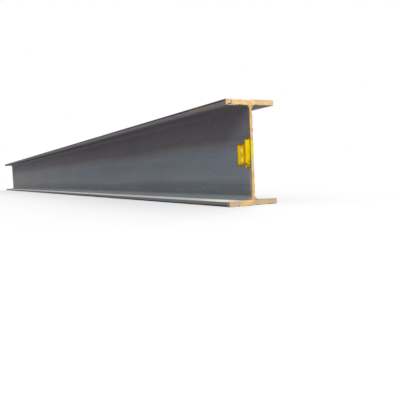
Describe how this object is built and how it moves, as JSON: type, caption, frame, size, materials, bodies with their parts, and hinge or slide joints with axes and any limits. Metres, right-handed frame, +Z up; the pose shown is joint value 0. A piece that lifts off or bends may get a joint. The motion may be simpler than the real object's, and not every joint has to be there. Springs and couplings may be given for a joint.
{
  "type": "steel h-beam",
  "caption": "Hot-rolled steel H-beam in one straight stock length: two parallel flanges joined by a filleted web, with blank stock labels by one cut end.",
  "frame": {"origin": "middle of the length and of the flange width, on the underside of the bottom flange", "axes": "+X along the beam towards the labelled end, +Y across the flanges away from the labelled web face, +Z up through the web"},
  "size_m": [9, 0.3, 0.55],
  "materials": {
    "mill_scale_steel": "blue-grey mill scale as rolled, with thin rust on the cut ends and flange toes",
    "yellow_label_paper": "bright yellow stock label, blank",
    "amber_label_paper": "amber-yellow stock label with two blank pale patches"
  },
  "bodies": {
    "root": {"h_beam": "mill_scale_steel", "label_end": "yellow_label_paper", "label_inner": "amber_label_paper"}
  },
  "joints": []
}
